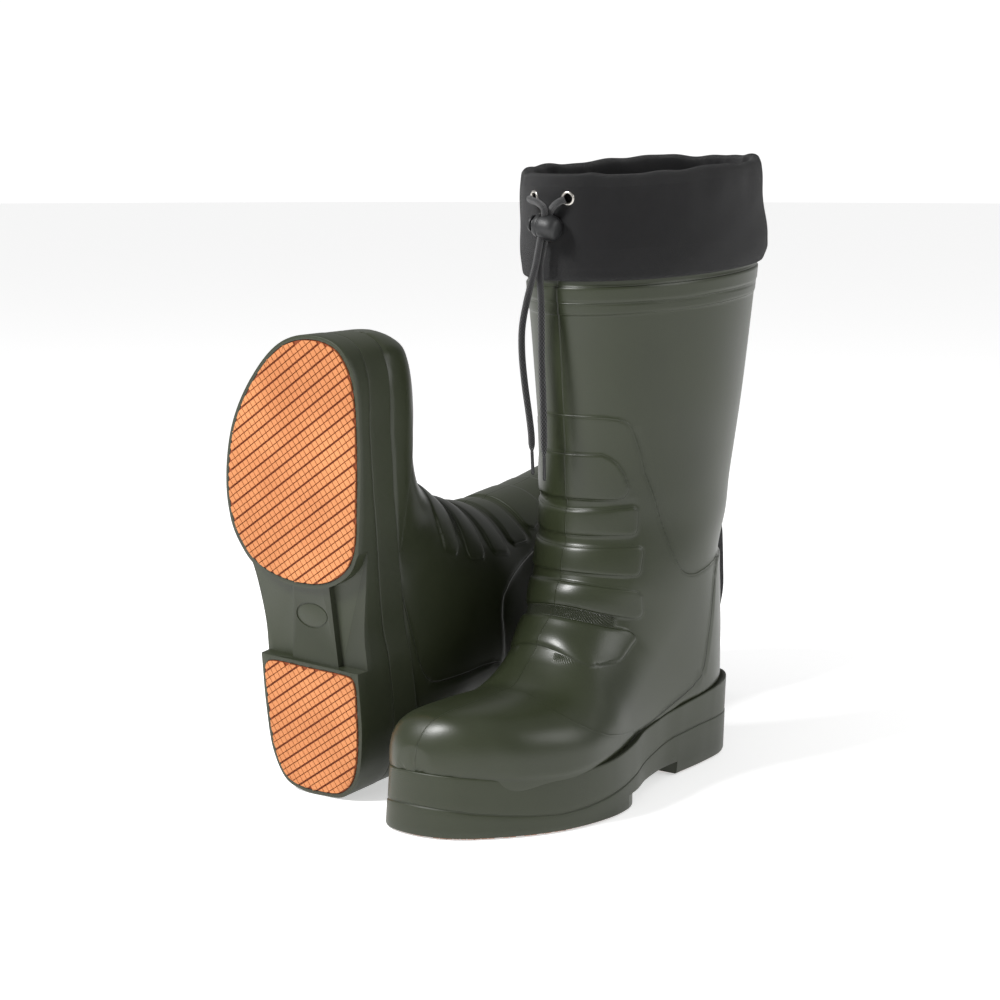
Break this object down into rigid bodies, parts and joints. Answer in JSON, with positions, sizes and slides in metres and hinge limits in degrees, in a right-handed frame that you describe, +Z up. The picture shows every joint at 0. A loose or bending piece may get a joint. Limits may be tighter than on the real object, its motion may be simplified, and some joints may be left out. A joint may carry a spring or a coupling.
{
  "type": "insulated hunting boots",
  "caption": "Pair of tall moulded foam hunting boots with rubber treads, felt liners and fabric cuffs closed by a cord and lock; one stands, the other lies on its back.",
  "frame": {"origin": "on the ground under the ball of the standing boot, on the flat underside of its forefoot tread", "axes": "+Z up; -Y towards the standing boot's toe; +X to the outer side of the standing boot, away from the lying one"},
  "size_m": [0.2648, 0.4483, 0.414],
  "materials": {
    "foam": "satin dark olive moulded foam with a fine moulded grain",
    "tread": "matte tan-orange rubber",
    "cloth": "matte black woven fabric",
    "felt": "matte dark grey felt",
    "insole": "matte grey felt board",
    "nickel": "polished nickel",
    "cord": "black braid",
    "cord_tip": "hard fused cord end",
    "plastic": "black moulded plastic with a soft sheen",
    "spring_steel": "plain steel wire"
  },
  "bodies": {
    "standing_boot": {"standing_shell": "foam", "standing_forefoot_tread": "tread", "standing_heel_tread": "tread", "standing_liner": "felt", "standing_insole": "insole", "standing_cuff": "cloth", "standing_eyelet_inner": "nickel", "standing_eyelet_outer": "nickel", "standing_hem_cord": "cord", "standing_strand_inner": "cord", "standing_strand_outer": "cord", "standing_cord_tip_inner": "cord_tip", "standing_cord_tip_outer": "cord_tip"},
    "cord_lock": {"standing_cord_lock": "plastic", "standing_lock_spring": "spring_steel"},
    "lock_plunger": {"standing_lock_plunger": "plastic"},
    "lying_boot": {"lying_shell": "foam", "lying_forefoot_tread": "tread", "lying_heel_tread": "tread", "lying_liner": "felt", "lying_insole": "insole", "lying_cuff": "cloth", "lying_eyelet_inner": "nickel", "lying_eyelet_outer": "nickel"}
  },
  "joints": [
    {"name": "cord_lock_slide", "type": "slide", "parent": "standing_boot", "child": "cord_lock", "axis": [-0.2079, 0, -0.9781], "range_m": [0, 0.014]},
    {"name": "lock_plunger_press", "type": "slide", "parent": "cord_lock", "child": "lock_plunger", "axis": [0.9781, 0, -0.2079], "range_m": [0, 0.0024], "stiffness_N_per_m": 300, "springref_m": -0.002, "deforming": ["standing_lock_spring"]},
    {"name": "lying_boot_lift", "type": "slide", "parent": "standing_boot", "child": "lying_boot", "axis": [-0.7071, 0, 0.7071], "range_m": [0, 0.25]}
  ]
}
